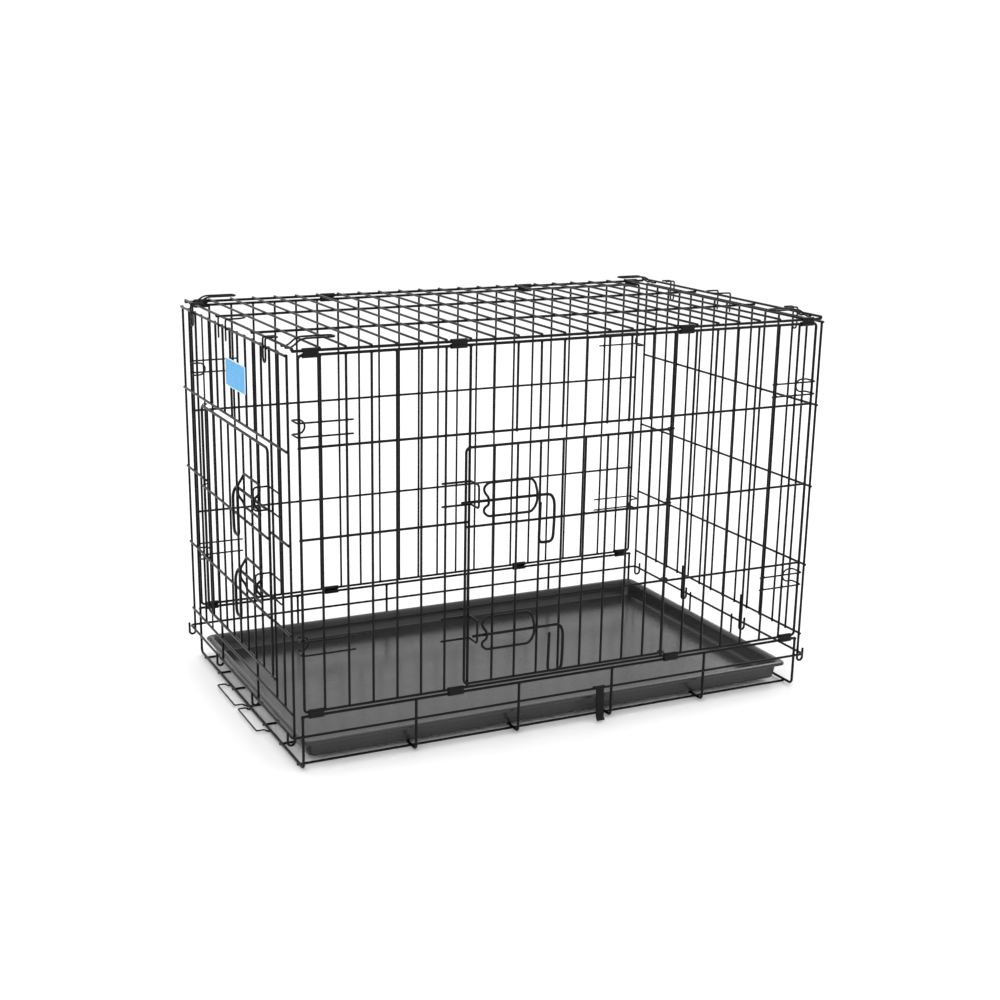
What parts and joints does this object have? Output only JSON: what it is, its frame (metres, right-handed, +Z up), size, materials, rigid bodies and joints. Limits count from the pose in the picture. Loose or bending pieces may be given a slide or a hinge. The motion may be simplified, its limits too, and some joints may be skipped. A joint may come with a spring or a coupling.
{
  "type": "wire dog crate",
  "caption": "Folding wire dog crate with a front door and an end door, slide bolts, folded hinge clips and a slide-out plastic pan.",
  "frame": {"origin": "middle of the whole crate's box, on the floor it stands on", "axes": "+X along the crate's length towards the end without a door, +Y from the front door to the back, +Z up"},
  "size_m": [0.8131, 0.4989, 0.5532],
  "materials": {
    "wire": "black semi-gloss powder coat",
    "clip_steel": "black painted steel strip",
    "pan": "black moulded plastic, fine grain",
    "tag": "plain blue plastic"
  },
  "bodies": {
    "base": {"base_frame": "wire", "base_clip_front_left_outer": "clip_steel", "base_clip_front_left_inner": "clip_steel", "base_clip_back_left_outer": "clip_steel", "base_clip_back_left_inner": "clip_steel", "base_clip_front_right_outer": "clip_steel", "base_clip_front_right_inner": "clip_steel", "base_clip_back_right_outer": "clip_steel", "base_clip_back_right_inner": "clip_steel"},
    "pan": {"tray": "pan"},
    "front": {"front_panel": "wire", "front_upper_catch": "wire", "front_lower_catch": "wire", "corner_hook_front_left_upper": "wire", "corner_hook_front_left_lower": "wire", "corner_hook_front_right_upper": "wire", "corner_hook_front_right_lower": "wire"},
    "back": {"back_panel": "wire", "corner_hook_back_left_upper": "wire", "corner_hook_back_left_lower": "wire", "corner_hook_back_right_upper": "wire", "corner_hook_back_right_lower": "wire"},
    "top": {"top_panel": "wire", "top_clip_front_left_outer": "clip_steel", "top_clip_front_left_inner": "clip_steel", "top_clip_back_left_outer": "clip_steel", "top_clip_back_left_inner": "clip_steel", "top_clip_front_right_outer": "clip_steel", "top_clip_front_right_inner": "clip_steel", "top_clip_back_right_outer": "clip_steel", "top_clip_back_right_inner": "clip_steel"},
    "left_end": {"left_end_panel": "wire", "left_upper_catch": "wire", "left_lower_catch": "wire", "end_hook_left_front": "wire", "end_hook_left_back": "wire", "end_tongue_left": "wire", "tag": "tag"},
    "right_end": {"right_end_panel": "wire", "end_hook_right_front": "wire", "end_hook_right_back": "wire", "end_tongue_right": "wire"},
    "front_door": {"front_door": "wire", "front_upper_keeper": "wire", "front_lower_keeper": "wire"},
    "left_door": {"left_door": "wire", "left_upper_keeper": "wire", "left_lower_keeper": "wire"},
    "front_upper_bolt": {"front_upper_bolt": "wire"},
    "front_lower_bolt": {"front_lower_bolt": "wire"},
    "left_upper_bolt": {"left_upper_bolt": "wire"},
    "left_lower_bolt": {"left_lower_bolt": "wire"},
    "front_bail": {"tray_bail_front": "wire"},
    "back_bail": {"tray_bail_back": "wire"},
    "carry_clip": {"carry_clip": "clip_steel"}
  },
  "joints": [
    {"name": "fold", "type": "hinge", "parent": "base", "child": "front", "pos_m": [0.00683, -0.22725, 0.0805], "axis": [1, 0, 0], "range_deg": [-87, 0]},
    {"name": "top_fold", "type": "hinge", "parent": "front", "child": "top", "pos_m": [0.00683, -0.22725, 0.5355], "axis": [1, 0, 0], "range_deg": [0, 87]},
    {"name": "back_fold", "type": "hinge", "parent": "base", "child": "back", "pos_m": [0.00683, 0.24475, 0.0805], "axis": [1, 0, 0], "range_deg": [-87, 0]},
    {"name": "left_end_swing", "type": "hinge", "parent": "base", "child": "left_end", "pos_m": [-0.38667, 0.00875, 0.049], "axis": [0, 1, 0], "range_deg": [-90, 0]},
    {"name": "right_end_swing", "type": "hinge", "parent": "base", "child": "right_end", "pos_m": [0.40033, 0.00875, 0.049], "axis": [0, -1, 0], "range_deg": [-90, 0]},
    {"name": "front_door_swing", "type": "hinge", "parent": "front", "child": "front_door", "pos_m": [0.15623, -0.22725, 0.2465], "axis": [0, 0, 1], "range_deg": [0, 110]},
    {"name": "left_door_swing", "type": "hinge", "parent": "left_end", "child": "left_door", "pos_m": [-0.38217, 0.14115, 0.26], "axis": [0, 0, -1], "range_deg": [0, 90]},
    {"name": "front_upper_bolt_slide", "type": "slide", "parent": "front_door", "child": "front_upper_bolt", "axis": [1, 0, 0], "range_m": [0, 0.03]},
    {"name": "front_lower_bolt_slide", "type": "slide", "parent": "front_door", "child": "front_lower_bolt", "axis": [1, 0, 0], "range_m": [-0.018, 0.012]},
    {"name": "left_upper_bolt_slide", "type": "slide", "parent": "left_door", "child": "left_upper_bolt", "axis": [0, 1, 0], "range_m": [0, 0.03]},
    {"name": "left_lower_bolt_slide", "type": "slide", "parent": "left_door", "child": "left_lower_bolt", "axis": [0, 1, 0], "range_m": [0, 0.03]},
    {"name": "tray_slide", "type": "slide", "parent": "base", "child": "pan", "axis": [-1, 0, 0], "range_m": [0, 0.7]},
    {"name": "front_bail_flip", "type": "hinge", "parent": "base", "child": "front_bail", "pos_m": [-0.37217, -0.04375, 0.0043], "axis": [0, -1, 0], "range_deg": [-90, 0]},
    {"name": "back_bail_flip", "type": "hinge", "parent": "base", "child": "back_bail", "pos_m": [-0.37217, 0.05625, 0.0043], "axis": [0, -1, 0], "range_deg": [-90, 0]},
    {"name": "carry_clip_swing", "type": "hinge", "parent": "base", "child": "carry_clip", "pos_m": [0.05733, -0.23025, 0.049], "axis": [-1, 0, 0], "range_deg": [0, 110]}
  ],
  "couplings": [
    {"joint": "top_fold", "follows": "fold", "ratio": -1},
    {"joint": "back_fold", "follows": "fold", "ratio": 1}
  ]
}
